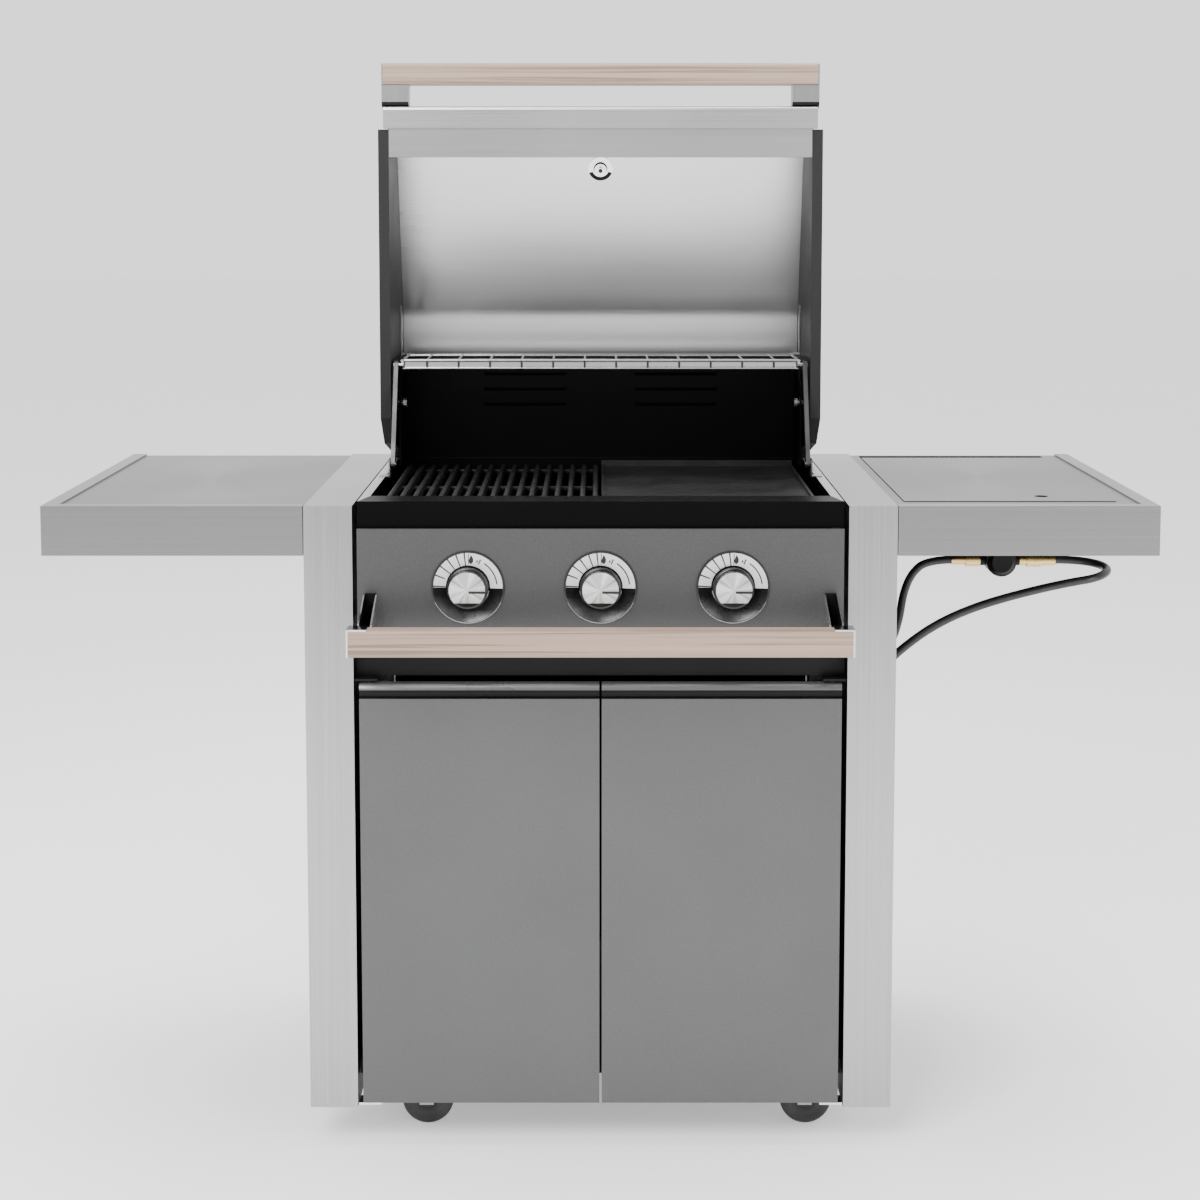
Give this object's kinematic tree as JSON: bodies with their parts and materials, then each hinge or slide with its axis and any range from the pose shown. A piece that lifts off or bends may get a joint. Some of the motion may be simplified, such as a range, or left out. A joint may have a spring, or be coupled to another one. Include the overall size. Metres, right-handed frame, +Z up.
{
  "type": "gas barbecue grill",
  "caption": "Gas barbecue on casters with an open hood, grate and hotplate, warming rack, control knobs, side shelves, flush side burner lid and two-door cabinet.",
  "frame": {"origin": "on the floor under the middle of the trolley", "axes": "+X to the right as the user stands facing the controls, -Y towards the user, +Z up"},
  "size_m": [1.45, 0.672, 1.446],
  "materials": {
    "brushed_stainless": "fine brushed stainless steel sheet",
    "graphite_paint": "fine metallic graphite powder coat",
    "door_paint": "satin metallic grey powder coat",
    "black_paint": "satin black powder coat",
    "black_enamel": "glossy black porcelain enamel",
    "hood_grey": "dark grey painted cast aluminium",
    "post_grey": "satin grey cast aluminium",
    "cast_iron": "matt enamelled cast iron",
    "wood": "pale pinkish-beige straight-grained wood, matt lacquer",
    "chrome": "polished chrome plate",
    "zinc": "bright zinc-plated steel",
    "rubber": "matt black rubber",
    "tyre": "black caster tread with a grey hub",
    "hose_rubber": "satin black gas hose",
    "brass": "plain machined brass",
    "regulator_black": "black painted zinc casting"
  },
  "bodies": {
    "trolley": {"back_panel": "black_paint", "base_panel": "black_paint", "burner_tubes": "brushed_stainless", "control_panel": "graphite_paint", "door_header": "black_paint", "door_hinges": "chrome", "firebox": "black_enamel", "flame_tamers": "black_enamel", "front_bar": "wood", "front_bar_brackets": "chrome", "gas_rail": "zinc", "gas_valves": "brass", "hinge_bolts": "zinc", "hose_fittings": "brass", "hose_grommets": "rubber", "hose_outlet": "hose_rubber", "hose_supply": "hose_rubber", "knob_bezels": "chrome", "rack_brackets": "zinc", "rear_wall": "black_enamel", "regulator": "regulator_black", "shelf_left": "brushed_stainless", "shelf_right": "brushed_stainless", "side_burner_head": "brass", "side_burner_well": "black_enamel", "side_frames": "brushed_stainless", "side_panels": "black_paint", "tray_rails": "black_paint"},
    "hood": {"hood_skin": "brushed_stainless", "hood_end_caps": "hood_grey", "hood_stiffener": "brushed_stainless", "hood_handle": "wood", "handle_posts": "post_grey", "handle_spacers": "black_paint", "thermometer": "chrome"},
    "rack_arms": {"rack_arms": "zinc"},
    "rack": {"warming_rack": "chrome"},
    "grate": {"grill_grate": "cast_iron"},
    "hotplate": {"hotplate": "cast_iron"},
    "trivet": {"side_burner_trivet": "cast_iron"},
    "drip_tray": {"drip_tray": "black_paint"},
    "left_door": {"left_door": "door_paint"},
    "right_door": {"right_door": "door_paint"},
    "burner_lid": {"side_burner_lid": "brushed_stainless"},
    "burner_tap": {"side_burner_knob": "chrome"},
    "spindle_left": {"valve_spindle_left": "zinc"},
    "knob_left": {"knob_left": "chrome"},
    "spindle_middle": {"valve_spindle_middle": "zinc"},
    "knob_middle": {"knob_middle": "chrome"},
    "spindle_right": {"valve_spindle_right": "zinc"},
    "knob_right": {"knob_right": "chrome"},
    "fork_front_left": {"caster_fork_front_left": "zinc"},
    "wheel_front_left": {"caster_wheel_front_left": "tyre"},
    "fork_front_right": {"caster_fork_front_right": "zinc"},
    "wheel_front_right": {"caster_wheel_front_right": "tyre"},
    "fork_rear_left": {"caster_fork_rear_left": "zinc"},
    "wheel_rear_left": {"caster_wheel_rear_left": "tyre"},
    "fork_rear_right": {"caster_fork_rear_right": "zinc"},
    "wheel_rear_right": {"caster_wheel_rear_right": "tyre"}
  },
  "joints": [
    {"name": "hood_hinge", "type": "hinge", "parent": "trolley", "child": "hood", "pos_m": [0, 0.17, 0.956], "axis": [1, 0, 0], "range_deg": [0, 90]},
    {"name": "arm_swing", "type": "hinge", "parent": "trolley", "child": "rack_arms", "pos_m": [0, 0.034, 0.882], "axis": [1, 0, 0], "range_deg": [0, 90]},
    {"name": "rack_swing", "type": "hinge", "parent": "rack_arms", "child": "rack", "pos_m": [0, 0.098, 1.018], "axis": [1, 0, 0], "range_deg": [-90, 0]},
    {"name": "knob_left_turn", "type": "hinge", "parent": "trolley", "child": "spindle_left", "pos_m": [-0.172, -0.23, 0.754], "axis": [0, -1, 0], "range_deg": [0, 180]},
    {"name": "knob_left_push", "type": "slide", "parent": "spindle_left", "child": "knob_left", "axis": [0, 1, 0], "range_m": [0, 0.003], "stiffness_N_per_m": 600},
    {"name": "knob_middle_turn", "type": "hinge", "parent": "trolley", "child": "spindle_middle", "pos_m": [0, -0.23, 0.754], "axis": [0, -1, 0], "range_deg": [0, 180]},
    {"name": "knob_middle_push", "type": "slide", "parent": "spindle_middle", "child": "knob_middle", "axis": [0, 1, 0], "range_m": [0, 0.003], "stiffness_N_per_m": 600},
    {"name": "knob_right_turn", "type": "hinge", "parent": "trolley", "child": "spindle_right", "pos_m": [0.172, -0.23, 0.754], "axis": [0, -1, 0], "range_deg": [0, 180]},
    {"name": "knob_right_push", "type": "slide", "parent": "spindle_right", "child": "knob_right", "axis": [0, 1, 0], "range_m": [0, 0.003], "stiffness_N_per_m": 600},
    {"name": "left_door_hinge", "type": "hinge", "parent": "trolley", "child": "left_door", "pos_m": [-0.303, -0.214, 0.3], "axis": [0, 0, -1], "range_deg": [0, 110]},
    {"name": "right_door_hinge", "type": "hinge", "parent": "trolley", "child": "right_door", "pos_m": [0.303, -0.214, 0.3], "axis": [0, 0, 1], "range_deg": [0, 110]},
    {"name": "burner_lid_hinge", "type": "hinge", "parent": "trolley", "child": "burner_lid", "pos_m": [0.541, 0.308, 0.844], "axis": [-1, 0, 0], "range_deg": [0, 92]},
    {"name": "burner_tap_turn", "type": "hinge", "parent": "trolley", "child": "burner_tap", "pos_m": [0.541, -0.116, 0.81], "axis": [0, 0, 1], "range_deg": [0, 150]},
    {"name": "drip_tray_slide", "type": "slide", "parent": "trolley", "child": "drip_tray", "axis": [0, 1, 0], "range_m": [0, 0.3]},
    {"name": "grate_lift", "type": "slide", "parent": "trolley", "child": "grate", "axis": [0, 0, 1], "range_m": [0, 0.012]},
    {"name": "hotplate_lift", "type": "slide", "parent": "trolley", "child": "hotplate", "axis": [0, 0, 1], "range_m": [0, 0.06]},
    {"name": "trivet_lift", "type": "slide", "parent": "trolley", "child": "trivet", "axis": [0, 0, 1], "range_m": [0, 0.012]},
    {"name": "caster_front_left_swivel", "type": "hinge", "parent": "trolley", "child": "fork_front_left", "pos_m": [-0.257, -0.144, 0.08], "axis": [0, 0, 1], "continuous": true},
    {"name": "caster_front_left_roll", "type": "hinge", "parent": "fork_front_left", "child": "wheel_front_left", "pos_m": [-0.235, -0.144, 0.035], "axis": [0, 1, 0], "continuous": true},
    {"name": "caster_front_right_swivel", "type": "hinge", "parent": "trolley", "child": "fork_front_right", "pos_m": [0.257, -0.144, 0.08], "axis": [0, 0, 1], "continuous": true},
    {"name": "caster_front_right_roll", "type": "hinge", "parent": "fork_front_right", "child": "wheel_front_right", "pos_m": [0.279, -0.144, 0.035], "axis": [0, 1, 0], "continuous": true},
    {"name": "caster_rear_left_swivel", "type": "hinge", "parent": "trolley", "child": "fork_rear_left", "pos_m": [-0.257, 0.262, 0.08], "axis": [0, 0, 1], "continuous": true},
    {"name": "caster_rear_left_roll", "type": "hinge", "parent": "fork_rear_left", "child": "wheel_rear_left", "pos_m": [-0.235, 0.262, 0.035], "axis": [0, 1, 0], "continuous": true},
    {"name": "caster_rear_right_swivel", "type": "hinge", "parent": "trolley", "child": "fork_rear_right", "pos_m": [0.257, 0.262, 0.08], "axis": [0, 0, 1], "continuous": true},
    {"name": "caster_rear_right_roll", "type": "hinge", "parent": "fork_rear_right", "child": "wheel_rear_right", "pos_m": [0.279, 0.262, 0.035], "axis": [0, 1, 0], "continuous": true}
  ],
  "couplings": [
    {"joint": "arm_swing", "follows": "hood_hinge", "ratio": 1},
    {"joint": "rack_swing", "follows": "hood_hinge", "ratio": -1}
  ]
}
